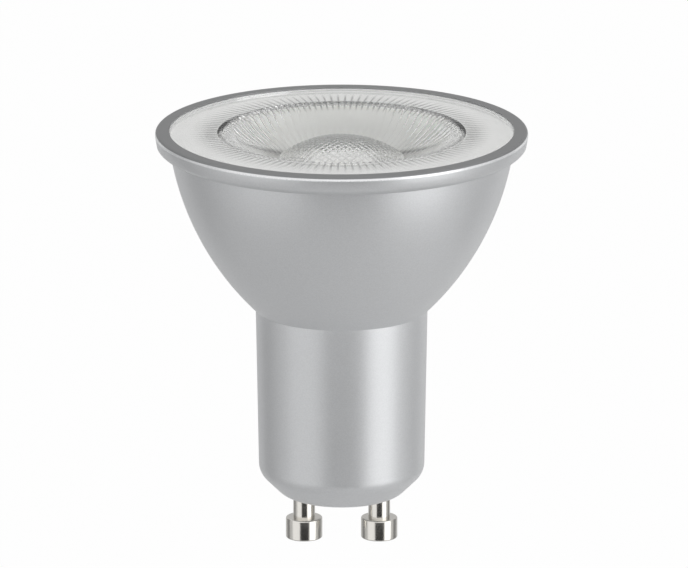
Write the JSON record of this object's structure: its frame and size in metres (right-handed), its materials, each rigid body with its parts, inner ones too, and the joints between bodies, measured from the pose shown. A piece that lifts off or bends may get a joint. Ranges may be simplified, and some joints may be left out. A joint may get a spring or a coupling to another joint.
{
  "type": "gu10 spotlight bulb",
  "caption": "Reflector-shaped LED spotlight bulb with a satin silver body, a ribbed clear lens with a beaded centre, and twist-lock contact pins.",
  "frame": {"origin": "on the lamp's axis, in the plane of the pin tips", "axes": "+Z along the lamp's axis towards the lens, +X from pin to pin"},
  "size_m": [0.0494, 0.0494, 0.056],
  "materials": {
    "silver_paint": "satin silver paint on a moulding",
    "clear_lens": "clear moulded optical plastic",
    "nickel_plate": "bright nickel plate on turned brass",
    "pressed_aluminium": "pressed sheet with a thin white lacquer",
    "thermal_silicone": "soft filled silicone sheet",
    "white_board": "white solder mask on an aluminium core",
    "led_ceramic": "white alumina",
    "phosphor": "yellow phosphor in silicone",
    "zinc_screw": "zinc-plated steel",
    "green_board": "green solder mask on glass laminate",
    "capacitor_sleeve": "dark shrink sleeve over an aluminium can",
    "bung_rubber": "black rubber",
    "ferrite": "dark sintered ferrite",
    "copper_winding": "enamelled copper wire",
    "film_box": "yellow moulded box",
    "varistor_blue": "blue dipped epoxy",
    "resistor_green": "green-grey lacquer on ceramic",
    "package_black": "black moulded epoxy",
    "chip_ceramic": "black glazed ceramic chip",
    "tinned_copper": "tinned wire",
    "wire_red": "red insulation",
    "wire_black": "black insulation",
    "wire_white": "white insulation",
    "solder": "bright solder"
  },
  "bodies": {
    "root": {"housing": "silver_paint", "lens": "clear_lens", "left_contact_pin": "nickel_plate", "right_contact_pin": "nickel_plate", "heat_sink_cup": "pressed_aluminium", "thermal_pad": "thermal_silicone", "led_board": "white_board", "led_substrate": "led_ceramic", "led_phosphor": "phosphor", "board_screws": "zinc_screw", "driver_board": "green_board", "smoothing_capacitor": "capacitor_sleeve", "capacitor_seal": "bung_rubber", "inductor_core": "ferrite", "inductor_winding": "copper_winding", "film_capacitor": "film_box", "varistor": "varistor_blue", "fusible_resistor": "resistor_green", "bridge_rectifier": "package_black", "driver_chip": "package_black", "freewheel_diode": "package_black", "chip_resistors": "chip_ceramic", "component_leads": "tinned_copper", "live_wire": "wire_white", "neutral_wire": "wire_white", "led_wire_positive": "wire_red", "led_wire_negative": "wire_black", "solder_joints": "solder"}
  },
  "joints": []
}
